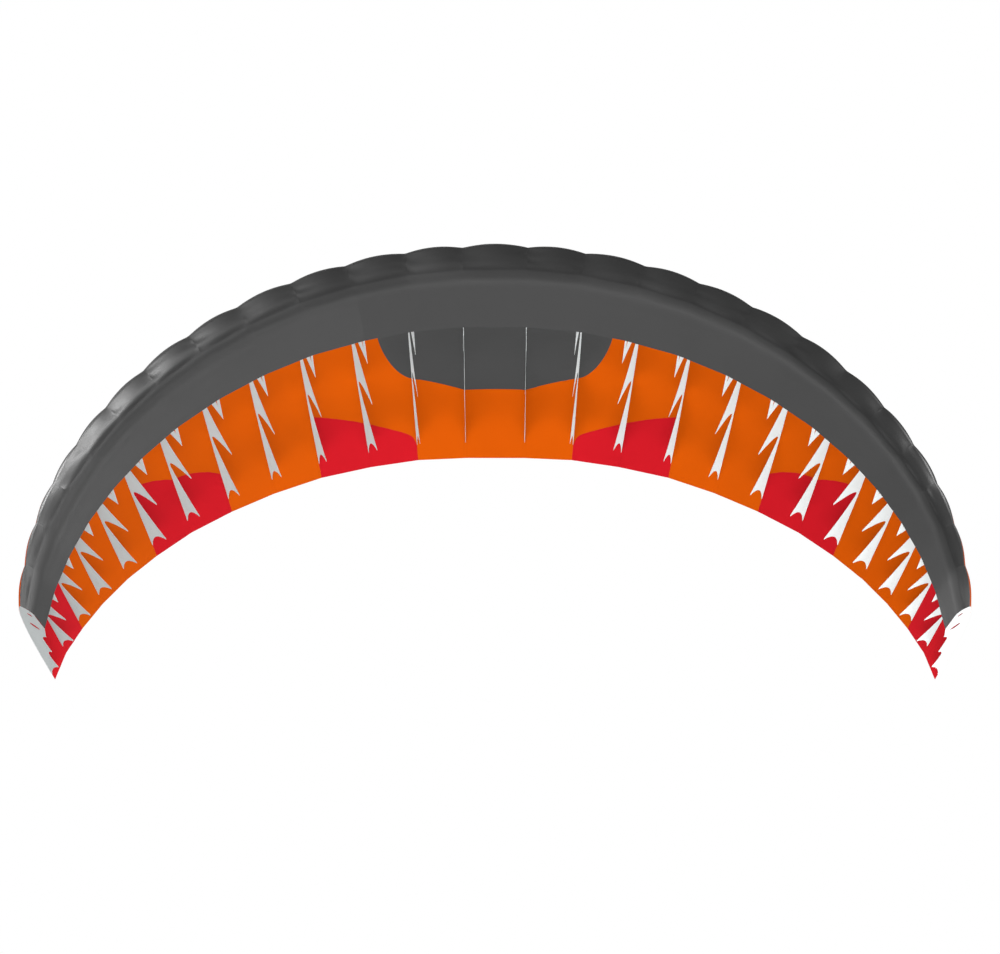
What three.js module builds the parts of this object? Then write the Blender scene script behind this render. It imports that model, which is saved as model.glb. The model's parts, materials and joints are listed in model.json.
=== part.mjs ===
// Parawing in its flying shape: an arched single skin of cambered cloth cells, hung on scalloped ribs,
// with a closed nose of grey cloth. +X runs along the span, to the right as seen from the front, +Y aft
// and +Z up. Lengths are millimetres. The origin lies midway between the front tabs of the centre ribs.

import * as THREE from 'three';

const { clamp, degToRad, lerp } = THREE.MathUtils;

// Cloth and sewing
const SHEET = 1.5; // thickness of every cloth piece
const GAP = 0.3; // clearance along every seam
const TAB_WIDTH = 8; // blunt end of each rib tooth, where a line would be sewn on

// Wing section, as shares of the chord
const INCIDENCE = degToRad(9);
const CAMBER = 0.162;
const TAIL_TAPER = 1.15;
const NOSE_SEAM = 0.03; // where the nose cloth ends on the upper side, but for the outermost ribs
const RIB_END = { along: 0.925, depth: 0.004 };
const NOSE_ROLL = [
  { along: 0, below: 0 },
  { along: 0.003, below: 0.035 },
  { along: 0.012, below: 0.072 },
  { along: 0.04, below: 0.108 },
  { along: 0.09, below: 0.128 },
  { along: 0.145, below: 0.147 },
  { along: 0.2, below: 0.166 },
];

// Bulge of the cloth between two ribs, as a share of the cell's width
const NOSE_BULGE = 0.06;
const LOWER_BULGE = 0.003;
const LEDGE = 0.34; // place on the nose roll where the bulging front meets the flat lower cloth

// Steps of the faceted cloth
const SPAN_STEPS = 4; // across one cell
const CHORD_STEPS = 10; // from the nose seam to the trailing edge
const CURVE_STEPS = 5; // along each curved edge of a rib
const SLANT_ROW = 0.045; // widest row beside a slanted colour seam, as a step of place on the section
const LEAST_ROW = 0.006; // narrowest row

// Ribs from the centre to the tip. cell is the width from the rib before, and for the first rib from the
// middle of the wing. roll is in degrees and sweep is how far aft the leading edge lies. lean turns the rib
// further than the arch, in degrees. seam, patch and insert are the shares of the chord where the nose cloth
// ends, where the grey patch ends and where the red insert starts.
const RIB_ROWS = [
  { cell: 118, roll: 1, chord: 1088, sweep: 12, patch: 0.69 },
  { cell: 210, roll: 9, chord: 1071, sweep: 24, patch: 0.622, insert: 0.887 },
  { cell: 219, roll: 16, chord: 1053, sweep: 37, lean: 4, insert: 0.788 },
  { cell: 203, roll: 21.5, chord: 1023, sweep: 54, insert: 0.7 },
  { cell: 208, roll: 27.5, chord: 991, sweep: 83 },
  { cell: 200, roll: 33.5, chord: 949, sweep: 121, insert: 0.79 },
  { cell: 194, roll: 39.5, chord: 894, sweep: 171, insert: 0.685 },
  { cell: 178, roll: 46, chord: 840, sweep: 227, insert: 0.565 },
  { cell: 155, roll: 51, chord: 778, sweep: 292 },
  { cell: 138, roll: 54, chord: 713, sweep: 375 },
  { cell: 118, roll: 56.5, chord: 638, sweep: 487, seam: 0.008 },
  { cell: 98, roll: 59, chord: 550, sweep: 630, seam: 0.003 },
  { cell: 80, roll: 60.5, chord: 471, sweep: 804, seam: 0.001 },
];
const RIBS_A_SIDE = RIB_ROWS.length;
const FIRST_RED_CELL = 11; // cells outboard of this rib are red all over
const NOSE_CENTRE_RIB = 3; // the centre nose cloth spans from this rib to its twin

// Teeth from the tail forward, as shares of the chord: hook bends the steep edge behind the tip, slant
// bends the long edge ahead of it and crown is the top of the arch that this edge ends in.
const TEETH = [
  { hook: [0.8, -0.03], tip: [0.776, -0.134], slant: [0.7, -0.055], crown: [0.6, 0.014] },
  { hook: [0.54, 0.06], tip: [0.521, -0.154], slant: [0.45, -0.06], crown: [0.365, 0.012] },
  { hook: [0.29, 0.05], tip: [0.315, -0.158] },
];
const TIP_TEETH = [
  { hook: [0.794, -0.029], tip: [0.744, -0.116], slant: [0.678, -0.082], crown: [0.605, -0.073] },
  { hook: [0.552, -0.073], tip: [0.531, -0.122], slant: [0.455, -0.102], crown: [0.387, -0.09] },
  { hook: [0.348, -0.087], tip: [0.321, -0.137] },
];

// Vent in the front tooth, and the two slits in a tip rib
const VENT = [[0.272, -0.13], [0.228, -0.088], [0.215, -0.127]];
const TIP_SLITS = [
  { along: 0.073, height: -0.062, halfLength: 0.026, halfWidth: 0.01, lean: -65 },
  { along: 0.226, height: -0.06, halfLength: 0.048, halfWidth: 0.015, lean: -62 },
];

const cloth = (color, roughness) => new THREE.MeshStandardMaterial({ color, roughness, metalness: 0 });
const GREY = cloth('#545454', 0.6);
const ORANGE = cloth('#dd5a00', 0.65);
const RED = cloth('#d21a26', 0.65);
const WHITE = cloth('#e4e4e6', 0.7);

const noseRoll = new THREE.SplineCurve(NOSE_ROLL.map((p) => new THREE.Vector2(p.along, -p.below)));
const seamPlace = Math.sqrt(NOSE_SEAM);

// A place on the section runs from -1 at the rear edge of the lower cloth, round the leading edge at 0,
// to 1 at the trailing edge. The upper side is spaced by the square root of the chord.
function section(place) {
  if (place < 0) return noseRoll.getPoint(-place);
  const along = place * place;
  return new THREE.Vector2(along, CAMBER * place * (1 - along) ** TAIL_TAPER);
}

function sectionNormal(place) {
  const step = 0.001;
  const ahead = section(clamp(place + step, -1, 1));
  const tangent = ahead.sub(section(clamp(place - step, -1, 1))).normalize();
  return new THREE.Vector2(-tangent.y, tangent.x);
}

function bulgeShare(place) {
  if (place >= 0) return NOSE_BULGE * (1 - place * place);
  return Math.max(LOWER_BULGE, NOSE_BULGE * (1 - (-place / LEDGE) ** 2.5));
}

// Rib stations of one side, following the arch outwards; side is -1 on the left and 1 on the right.
function sideStations(side) {
  let x = 0;
  let z = 0;
  let lastArch = 0;
  return RIB_ROWS.map((row, index) => {
    const arch = degToRad(row.roll);
    const slope = (lastArch + arch) / 2;
    x += row.cell * Math.cos(slope);
    z -= row.cell * Math.sin(slope);
    lastArch = arch;
    const roll = arch + degToRad(row.lean ?? 0);
    const seam = row.seam ?? NOSE_SEAM;
    return { ...row, side, x, z, roll, seam, number: index + 1 };
  });
}

// A direction in the rib's own plane, given along its chord and up from it, in the wing's frame.
function ribDirection(station, along, up) {
  const rise = up * Math.cos(INCIDENCE) - along * Math.sin(INCIDENCE);
  const aft = along * Math.cos(INCIDENCE) + up * Math.sin(INCIDENCE);
  return new THREE.Vector3(
    station.side * rise * Math.sin(station.roll), aft, rise * Math.cos(station.roll));
}

function ribPoint(station, share) {
  const leadingEdge = new THREE.Vector3(station.side * station.x, station.sweep, station.z);
  return ribDirection(station, share.x, share.y).multiplyScalar(station.chord).add(leadingEdge);
}

// How far the cloth lies off a rib's edge line. Where the edge runs oblique to the rib, as on the swept
// leading edge, the cloth is lifted so that it clears both faces of the rib by the seam's gap.
function seat(station, place) {
  const share = section(place);
  const normalShare = sectionNormal(place);
  const outward = ribDirection(station, normalShare.x, normalShare.y);
  const across = new THREE.Vector3(Math.cos(station.roll), 0, -station.side * Math.sin(station.roll));
  const falls = station.beside.map((neighbour) => {
    const run = ribPoint(neighbour, share).sub(ribPoint(station, share));
    return -run.dot(outward) / Math.abs(run.dot(across));
  });
  return GAP + (SHEET / 2) * Math.max(0, ...falls);
}

// Point of the cloth in the cell from rib a to rib b, a share t of the way across. lift is the height over
// the inner face of the cloth.
function clothPoint({ a, b, t }, place, lift) {
  const share = section(place);
  const normalShare = sectionNormal(place);
  const start = ribPoint(a, share);
  const end = ribPoint(b, share);
  const outward = ribDirection(a, normalShare.x, normalShare.y)
    .lerp(ribDirection(b, normalShare.x, normalShare.y), t).normalize();
  const bulge = 4 * t * (1 - t) * bulgeShare(place) * start.distanceTo(end);
  const base = lerp(seat(a, place), seat(b, place), t);
  return start.lerp(end, t).addScaledVector(outward, base + bulge + lift);
}

// Columns of the cloth across a row of neighbouring ribs, trimmed by half a seam at both ends.
function spanColumns(ribs) {
  const columns = [];
  for (let cell = 0; cell + 1 < ribs.length; cell += 1) {
    const [a, b] = [ribs[cell], ribs[cell + 1]];
    const trim = GAP / 2 / Math.hypot(b.side * b.x - a.side * a.x, b.z - a.z);
    for (let step = cell === 0 ? 0 : 1; step <= SPAN_STEPS; step += 1) {
      const first = cell === 0 && step === 0;
      const last = cell + 2 === ribs.length && step === SPAN_STEPS;
      const t = step / SPAN_STEPS;
      columns.push({ a, b, t: first ? trim : last ? 1 - trim : t });
    }
  }
  return columns;
}

// A closed sheet of cloth: a thin box bent so that its columns follow the span and its rows the section.
// rowsAt gives the places on the section, from front to rear, for one column.
function clothSheet(name, ribs, rowsAt, material) {
  const columns = spanColumns(ribs);
  const rows = columns.map(rowsAt);
  const spanSteps = columns.length - 1;
  const chordSteps = rows[0].length - 1;
  const geometry = new THREE.BoxGeometry(1, 1, 1, spanSteps, chordSteps, 1);
  const position = geometry.attributes.position;
  for (let i = 0; i < position.count; i += 1) {
    const column = Math.round((position.getX(i) + 0.5) * spanSteps);
    const row = Math.round((position.getY(i) + 0.5) * chordSteps);
    const lift = position.getZ(i) > 0 ? SHEET : 0;
    const point = clothPoint(columns[column], rows[column][row], lift);
    position.setXYZ(i, point.x, point.y, point.z);
  }
  geometry.deleteAttribute('uv');
  geometry.computeVertexNormals();
  const mesh = new THREE.Mesh(geometry, material);
  mesh.name = name;
  return mesh;
}

// Rows of the upper side from the nose seam aft, and of the nose from the lower cloth's rear edge forward
const chordGrid = Array.from({ length: CHORD_STEPS + 1 }, (_, i) => lerp(seamPlace, 1, i / CHORD_STEPS));
const lowerPlaces = NOSE_ROLL.slice(1).map((_, i) => -(i + 1) / (NOSE_ROLL.length - 1)).reverse();

// Half a seam, as a step of place at this column.
function seamTrim({ a, b, t }, place) {
  return GAP / 2 / (2 * place * lerp(a.chord, b.chord, t));
}

// Rows of upper cloth between two edges, each given as a share of the chord at every rib. The rows between
// the edges are the ribs' own, so that the cloth lies evenly on them, with closer rows along a slanted edge.
function upperRows(ribs, frontOf, rearOf) {
  const fronts = ribs.map((rib) => Math.sqrt(frontOf(rib)));
  const rears = ribs.map((rib) => Math.sqrt(rearOf(rib)));
  const inside = chordGrid.filter(
    (place) => place > Math.max(...fronts) + LEAST_ROW && place < Math.min(...rears) - LEAST_ROW);
  const lines = [fronts, ...inside.map((place) => ribs.map(() => place)), rears];
  const onGrid = lines.map((line) => line.every((place) => chordGrid.includes(place)));
  const stepsAfter = lines.slice(1).map((line, i) => {
    if (onGrid[i] && onGrid[i + 1]) return 1;
    return Math.ceil(Math.max(...line.map((place, rib) => place - lines[i][rib])) / SLANT_ROW);
  });
  return (column) => {
    const places = lines.map(
      (line) => lerp(line[ribs.indexOf(column.a)], line[ribs.indexOf(column.b)], column.t));
    const rows = stepsAfter.flatMap((steps, i) =>
      Array.from({ length: steps }, (_, step) => lerp(places[i], places[i + 1], step / steps)));
    const rear = places[places.length - 1];
    rows[0] += seamTrim(column, rows[0]);
    return [...rows, rear < 1 ? rear - seamTrim(column, rear) : rear];
  };
}

function noseRows(column) {
  const seam = lerp(Math.sqrt(column.a.seam), Math.sqrt(column.b.seam), column.t);
  return [...lowerPlaces, 0, seam / 2, seam - seamTrim(column, seam)];
}

// Rib: a flat sheet with the section's nose and upper edge, and three teeth with arches between them.
function ribShape({ chord, seam }, teeth) {
  const shape = new THREE.Shape();
  const at = ([along, height]) => [along * chord, height * chord];
  const lineTo = (share) => shape.lineTo(share.x * chord, share.y * chord);
  const endPlace = Math.sqrt(RIB_END.along);
  const nosePlace = Math.sqrt(seam);
  const aft = chordGrid.filter((place) => place > nosePlace && place < endPlace);
  const top = [nosePlace / 2, nosePlace, ...aft, endPlace];
  const tail = section(endPlace);
  shape.moveTo(0, 0);
  top.forEach((place) => lineTo(section(place)));
  lineTo({ x: tail.x, y: tail.y - RIB_END.depth });
  for (const tooth of teeth) {
    const [tipX, tipY] = at(tooth.tip);
    shape.quadraticCurveTo(...at(tooth.hook), tipX + TAB_WIDTH / 2, tipY);
    shape.lineTo(tipX - TAB_WIDTH / 2, tipY);
    if (tooth.crown) shape.quadraticCurveTo(...at(tooth.slant), ...at(tooth.crown));
  }
  lowerPlaces.forEach((place) => lineTo(section(place)));
  return shape;
}

function ventHole(chord) {
  return new THREE.Path(VENT.map(([along, height]) => new THREE.Vector2(along * chord, height * chord)));
}

function slitHole(chord, slit) {
  const hole = new THREE.Path();
  hole.absellipse(slit.along * chord, slit.height * chord, slit.halfLength * chord,
    slit.halfWidth * chord, 0, 2 * Math.PI, false, degToRad(slit.lean));
  return hole;
}

function rib(station) {
  const isTip = station.number === RIBS_A_SIDE;
  const shape = ribShape(station, isTip ? TIP_TEETH : TEETH);
  if (isTip) shape.holes.push(...TIP_SLITS.map((slit) => slitHole(station.chord, slit)));
  else shape.holes.push(ventHole(station.chord));
  const options = { depth: SHEET, bevelEnabled: false, curveSegments: CURVE_STEPS };
  const geometry = new THREE.ExtrudeGeometry(shape, options).translate(0, 0, -SHEET / 2);
  const mesh = new THREE.Mesh(geometry, WHITE);
  mesh.name = `rib_${nameOf(station)}`;
  mesh.rotation.set(Math.PI / 2 - INCIDENCE, Math.PI / 2, 0);
  const frame = new THREE.Group();
  frame.position.set(station.side * station.x, station.sweep, station.z);
  frame.rotation.y = station.side * station.roll;
  frame.add(mesh);
  return frame;
}

function nameOf(station) {
  return `${station.side < 0 ? 'L' : 'R'}${String(station.number).padStart(2, '0')}`;
}

const left = sideStations(-1);
const right = sideStations(1);
const ribs = [...left].reverse().concat(right);
ribs.forEach((station, i) => {
  station.beside = [ribs[i - 1], ribs[i + 1]].filter(Boolean);
});

// Upper cloth of one cell, which leaves room for the grey patch ahead and the red insert behind.
function cellCloth(a, b) {
  const inner = a.number < b.number ? a : b;
  const name = a.side === b.side ? nameOf(inner) : 'centre';
  const both = (column) => a[column] !== undefined && b[column] !== undefined;
  const frontOf = (station) => (both('patch') ? station.patch : station.seam);
  const rearOf = (station) => (both('insert') ? station.insert : 1);
  const material = inner.number >= FIRST_RED_CELL ? RED : ORANGE;
  return clothSheet(`skin_${name}`, [a, b], upperRows([a, b], frontOf, rearOf), material);
}

// Red insert at the trailing edge, across the run of ribs that have one.
function insertCloth(name, run) {
  return clothSheet(name, run, upperRows(run, (station) => station.insert, () => 1), RED);
}

const wing = new THREE.Group();
ribs.forEach((station) => wing.add(rib(station)));
for (let i = 0; i + 1 < ribs.length; i += 1) wing.add(cellCloth(ribs[i], ribs[i + 1]));

for (const [letter, side] of [['L', left], ['R', right]]) {
  const outwards = (first, last) => {
    const run = side.slice(first - 1, last);
    return letter === 'L' ? run.reverse() : run;
  };
  wing.add(insertCloth(`insert_${letter}_inner`, outwards(2, 4)));
  wing.add(insertCloth(`insert_${letter}_outer`, outwards(6, 8)));
  wing.add(clothSheet(`nose_${letter}`, outwards(NOSE_CENTRE_RIB, RIBS_A_SIDE), noseRows, GREY));
}

const patchRibs = ribs.filter((station) => station.patch !== undefined);
const patchRows = upperRows(patchRibs, () => NOSE_SEAM, (station) => station.patch);
wing.add(clothSheet('patch_centre', patchRibs, patchRows, GREY));
const noseRibs = ribs.filter((station) => station.number <= NOSE_CENTRE_RIB);
wing.add(clothSheet('nose_centre', noseRibs, noseRows, GREY));

const frontTooth = TEETH[TEETH.length - 1];
const frontTab = ribPoint(left[0], new THREE.Vector2(...frontTooth.tip));
wing.position.set(0, -frontTab.y, -frontTab.z);

export default wing;
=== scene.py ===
"""Parawing in flight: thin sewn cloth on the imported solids, its studio and camera. Lengths are metres."""

import json
import math
from dataclasses import dataclass
from functools import cache, partial
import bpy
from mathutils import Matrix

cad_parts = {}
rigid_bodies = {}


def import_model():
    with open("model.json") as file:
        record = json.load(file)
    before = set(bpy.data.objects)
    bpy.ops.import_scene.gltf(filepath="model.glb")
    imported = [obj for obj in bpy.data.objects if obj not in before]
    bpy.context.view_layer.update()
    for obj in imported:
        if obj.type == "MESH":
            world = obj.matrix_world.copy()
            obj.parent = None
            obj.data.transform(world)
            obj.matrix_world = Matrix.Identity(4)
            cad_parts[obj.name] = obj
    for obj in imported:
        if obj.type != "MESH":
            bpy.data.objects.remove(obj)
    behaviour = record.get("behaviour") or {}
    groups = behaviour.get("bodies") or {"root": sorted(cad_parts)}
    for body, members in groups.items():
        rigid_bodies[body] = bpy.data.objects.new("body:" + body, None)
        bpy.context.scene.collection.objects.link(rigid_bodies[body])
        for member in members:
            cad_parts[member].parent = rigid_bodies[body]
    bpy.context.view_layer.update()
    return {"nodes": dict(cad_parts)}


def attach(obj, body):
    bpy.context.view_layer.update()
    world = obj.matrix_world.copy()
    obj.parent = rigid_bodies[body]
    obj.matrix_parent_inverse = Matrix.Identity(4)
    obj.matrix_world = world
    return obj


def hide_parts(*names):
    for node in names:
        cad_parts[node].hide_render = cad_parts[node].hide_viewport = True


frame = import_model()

from types import SimpleNamespace

import bpy
import numpy as np
from bpy.props import FloatProperty, FloatVectorProperty, IntProperty, PointerProperty
from mathutils import Vector
from mathutils.geometry import delaunay_2d_cdt

bl_info = {
    "name": "Parawing Cloth",
    "version": (1, 0, 0),
    "blender": (4, 5, 0),
    "location": "View3D > Sidebar > Parawing",
    "description": "Builds the sewn cloth of a single-skin parawing, its studio and its camera",
    "category": "Object",
}

BODY = "root"
TURN = 2 * math.pi

# Wing section, as shares of the chord
INCIDENCE = math.radians(9)
CAMBER = 0.162
TAIL_TAPER = 1.15
NOSE_SEAM = 0.03
RIB_END = {"along": 0.925, "depth": 0.004}
NOSE_ROLL = np.array([
    # along, below
    (0.0, 0.0), (0.003, 0.035), (0.012, 0.072), (0.04, 0.108), (0.09, 0.128), (0.145, 0.147), (0.2, 0.166),
])

# Teeth from the tail forward, and the openings in the ribs, as shares of the chord
TEETH = [
    {"hook": (0.8, -0.03), "tip": (0.776, -0.134), "slant": (0.7, -0.055), "crown": (0.6, 0.014)},
    {"hook": (0.54, 0.06), "tip": (0.521, -0.154), "slant": (0.45, -0.06), "crown": (0.365, 0.012)},
    {"hook": (0.29, 0.05), "tip": (0.315, -0.158)},
]
TIP_TEETH = [
    {"hook": (0.794, -0.029), "tip": (0.744, -0.116), "slant": (0.678, -0.082), "crown": (0.605, -0.073)},
    {"hook": (0.552, -0.073), "tip": (0.531, -0.122), "slant": (0.455, -0.102), "crown": (0.387, -0.09)},
    {"hook": (0.348, -0.087), "tip": (0.321, -0.137)},
]
VENT = [(0.272, -0.13), (0.228, -0.088), (0.215, -0.127)]
TIP_SLITS = [
    {"along": 0.073, "height": -0.062, "half_length": 0.026, "half_width": 0.010, "lean": -65},
    {"along": 0.226, "height": -0.060, "half_length": 0.048, "half_width": 0.015, "lean": -62},
]
TAB_WIDTH = 0.008  # metres
RIB_STEP = 1.5  # spacing of a rib's inner mesh points, in row lengths
RIB_CLEAR = 0.45  # their least distance from its edge, in steps

# Places on the nose roll, from 0 at the leading edge to 1 at the lower cloth's rear edge
LEDGE = 0.37  # the fold where the bulging nose meets the flat lower cloth
CREASE_AHEAD, CREASE_BEHIND = 0.05, 0.06  # reach of the crease on either side of the fold
ROWS_AHEAD, ROWS_BEHIND = 0.12, 0.16  # stretch on either side of the fold that has closer rows

# Bulge between two ribs
BULGE_FADE = 1.3  # power by which it dies away from the leading edge to the fold
VALLEY_ROUND = {"front": 0.10, "added": 1.4}  # how round the cloth's valley at a rib is, ahead and then aft
VALLEY_RANGE = (-0.05, 0.6)  # added from just over the leading edge to this share of the way to the fold
CREASE_TIP_FADE = 0.35  # power by which the crease dies out at the tip rib

# Sewing
SEAT = 0.0003  # cloth's clearance over a rib's edge
LAP = 0.004  # share of a cell by which its cloth runs past the rib
SEAM_LAP = 0.0008  # share of the chord by which a piece laps the one behind it
EASE_REACH = 0.030  # distance from a rib over which the lower cloth rounds off
EASE_FADE = 0.08  # stretch of the nose roll on either side of the fold over which that starts
RIB_TRIM = 0.006  # what a rib is cut back under the nose, so that its edge does not show
WAVE_REACH = 0.016  # distance from a rib where the sewing's waves are highest
WAVE_LENGTH, SWELL_LENGTH, WANDER_LENGTH = 0.046, 0.21, 0.137  # along the rib
SWELL, WANDER = 0.4, 0.6  # how far the waves' height and spacing vary
WAVE_LOSS = {"aft": 0.6, "below": 0.8}  # what they lose towards the tail and on the lower cloth
WAVE_LOSS_RANGE = (0.2, 0.45)  # places on the nose roll between which they lose the latter
HEM_FADE, RIB_HEM_FADE = (0.9, 1.3), (0.6, 1)  # where a hem's thickness ends, as shares of its width
FLUTTER = {"height": 0.006, "waves": 19}  # slight wave of a rib's free edge, as a share of the chord
RIB_HEM = 0.6  # thickness of a rib's hem, as a share of the other hems'
NOSE_ROWS = (18, 26, 12, 8)  # mesh rows behind the fold, about it, ahead of it and over the leading edge
FLAT_ALLOWANCE = 1.02  # seam allowance on a sheet's flat width

# Front edge of the red inserts, as shares of the chord
INSERT_BOWS = {
    # inner rib of the cell: bow forward at mid cell, drop of the rounded corner, is that at the inner rib
    2: (0.0, 0.045, True),
    3: (0.002, 0.0, True),
    6: (0.018, 0.0, True),
    7: (0.010, 0.02, False),
}
INSERT_CORNER_POWER = 22

# Colour borders, the painted shade in the nose's fold, and shades
PATCH_CORNER = {"across": 0.555, "start": 0.36, "depth": 0.262, "drop": 0.06}
PATCH_CORNER_CELL = 2
TIP_RIM = 0.12  # share of the chord where a tip cell turns from its orange rim to red
# painted shade in the fold: how far it reaches ahead of and behind the fold, in metres, and how dark it is at
# the fold
FOLD_AHEAD, FOLD_BEHIND, FOLD_PAINTED_SHADE = 0.026, 0.009, 0.45
BOUNCE_DIM = 0.9  # how much less colour a cloth throws on its neighbours than it shows
SLANT_RANGE = (0.4, 0.75)  # from square on, 0, to edge on, 1, where the grey cloth's gleam spreads out
LEVEL = {"lowest": 0.95, "tone": 0.10, "lines": 0.05, "thread": -0.15}  # brightness, and what adds to it
UNEVEN_GLOSS = 0.12  # spread of roughness by the slow tone
RELIEF = {"weave": 0.00006, "thread": 0.0001, "crease": 0.0004}  # heights in metres
BUMP_STRENGTH = 0.6
BLACK, WHITE = (0, 0, 0, 1), (1, 1, 1, 1)


@dataclass
class RibRow:
    """One rib: width of the cell before it, roll of the arch there in degrees, chord, sweep, the rib's
    further lean in degrees, the seams of nose, patch and insert on its chord, and the ledge's place."""

    cell: float
    roll: float
    chord: float
    sweep: float
    lean: float = 0
    seam: float = NOSE_SEAM
    patch: float = None
    insert: float = None
    ledge: float = LEDGE


RIB_ROWS = [
    RibRow(0.118, 1, 1.088, 0.012, patch=0.69),
    RibRow(0.210, 9, 1.071, 0.024, patch=0.622, insert=0.887),
    RibRow(0.219, 16, 1.053, 0.037, lean=4, insert=0.788),
    RibRow(0.203, 21.5, 1.023, 0.054, insert=0.7),
    RibRow(0.208, 27.5, 0.991, 0.083),
    RibRow(0.200, 33.5, 0.949, 0.121, insert=0.79),
    RibRow(0.194, 39.5, 0.894, 0.171, insert=0.685),
    RibRow(0.178, 46, 0.840, 0.227, insert=0.565),
    RibRow(0.155, 51, 0.778, 0.292),
    RibRow(0.138, 54, 0.713, 0.375, ledge=0.34),
    RibRow(0.118, 56.5, 0.638, 0.487, seam=0.008, ledge=0.29),
    RibRow(0.098, 59, 0.550, 0.630, seam=0.003, ledge=0.25),
    RibRow(0.080, 60.5, 0.471, 0.804, seam=0.001, ledge=0.235),
]
RIBS_A_SIDE = len(RIB_ROWS)
FIRST_RED_CELL = 11
NOSE_CENTRE_RIB = 3
INSERT_RIBS = {"inner": (2, 4), "outer": (6, 8)}  # first and last rib


@dataclass
class Finish:
    """How a cloth takes the light: roughness, gleam, and roughness added where it is seen at a slant."""

    roughness: float
    gleam: float
    slant: float = 0


GREY_FINISH = Finish(0.45, 0.60, slant=0.5)
BRIGHT_FINISH = Finish(0.65, 0.02)
TIP_FINISH = Finish(0.65, 0.05)
WHITE_FINISH = Finish(0.7, 0.1)


@dataclass
class Lamp:
    """A soft panel of light: power, place, what it points at, size, and the pieces it lights if not all."""

    watts: float
    place: tuple
    aim: tuple
    size: tuple
    lit: str = None


MIDDLE, LEFT_HALF, RIGHT_HALF = (0, 0.3, 0), (-0.8, 0, 0), (0.8, 0, 0)
LIT_PIECES = {
    # collection: how the names of its pieces start
    "nose_lit": ("nose",),
    "upper_lit": ("skin", "insert", "patch"),
    "ribs_lit": ("rib",),
    "nose_left_lit": ("nose_L",),
}
LAMPS = {
    "under": Lamp(345, (0, 4, -11.5), MIDDLE, (16, 14)),
    "front": Lamp(368, (0, -5.7, -10.6), MIDDLE, (10, 6)),
    "back": Lamp(388, (6.9, 7.2, -2.3), MIDDLE, (5, 4)),
    "top": Lamp(900, (0, 6, 10), MIDDLE, (10, 8)),
    "rib_left": Lamp(560, (-9.4, -1, 2.6), MIDDLE, (4, 4), "ribs_lit"),
    "rib_right": Lamp(900, (8.5, 0.3, -8.7), MIDDLE, (8, 8), "ribs_lit"),
    "upper_left": Lamp(860, (-8.5, 0.3, -8.7), MIDDLE, (8, 8), "upper_lit"),
    "upper_right": Lamp(640, (8.5, 0.3, -8.7), MIDDLE, (8, 8), "upper_lit"),
    "low_back": Lamp(800, (5, 7.5, -8.5), MIDDLE, (6, 6), "nose_lit"),
    "low_right": Lamp(110, (6.9, 1, -6.1), LEFT_HALF, (4, 4), "nose_left_lit"),
    "low_left": Lamp(250, (-8.8, 2.2, -6.2), LEFT_HALF, (3, 3), "nose_left_lit"),
    "left": Lamp(1300, (-10.1, -1.65, 0.5), LEFT_HALF, (3, 4), "nose_lit"),
    "left_front": Lamp(950, (-6.5, -7.2, -1.3), LEFT_HALF, (3, 2.5), "nose_lit"),
    "right": Lamp(680, (10, -2.5, 0.6), RIGHT_HALF, (3, 3), "nose_lit"),
}
FLOOR_HALF_WIDTH = 60


# Settings


def length_setting(name, what, metres, low, high):
    """A length of the cloth or of its mesh."""
    return FloatProperty(name=name, description=what, default=metres, min=low, max=high, unit="LENGTH")


def colour_setting(name, what, colour):
    """The colour of one cloth."""
    return FloatVectorProperty(
        name=name, description=what, subtype="COLOR", size=4, default=(*colour, 1), min=0, max=1)


class ClothSettings(bpy.types.PropertyGroup):
    """Sizes of the cloth that a user may change."""

    thickness: length_setting(
        "Cloth Thickness", "Thickness of a single layer as it shows", 0.0005, 0.0002, 0.002)
    hem_thickness: length_setting(
        "Hem Thickness", "Thickness where the cloth is folded and sewn", 0.0010, 0.0005, 0.003)
    hem_width: length_setting("Hem Width", "Width of hems and of seam allowances", 0.010, 0.004, 0.02)
    nose_bulge: FloatProperty(
        name="Nose Bulge", description="Rise of the nose between two ribs, as a share of the cell's width",
        default=0.06, min=0, max=0.15, subtype="FACTOR")
    lower_bulge: FloatProperty(
        name="Lower Bulge", description="Rise of the lower cloth between ribs, as such a share",
        default=0.003, min=0, max=0.1, subtype="FACTOR")
    crease: length_setting(
        "Crease Depth", "Depth of the crease between the nose and the lower cloth", 0.0006, 0, 0.02)
    pucker: length_setting(
        "Seam Pucker", "Height of the small waves that the sewing draws beside a rib", 0.0012, 0, 0.005)
    cell_columns: IntProperty(
        name="Columns a Cell", description="Mesh columns across one cell", default=20, min=8, max=48)
    row_length: length_setting("Row Length", "Length of one mesh row along the chord", 0.010, 0.004, 0.05)


class ColourSettings(bpy.types.PropertyGroup):
    """Colours of the four cloths, linear."""

    grey: colour_setting("Grey Cloth", "Nose, lower cloth and centre patch", (0.0275, 0.0275, 0.0275))
    orange: colour_setting("Orange Cloth", "Most of the upper cloth", (0.69, 0.098, 0.0012))
    red: colour_setting("Red Cloth", "Inserts and tip cells", (0.62, 0.0098, 0.0184))
    white: colour_setting("White Cloth", "Ribs", (0.80, 0.84, 0.84))


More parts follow.
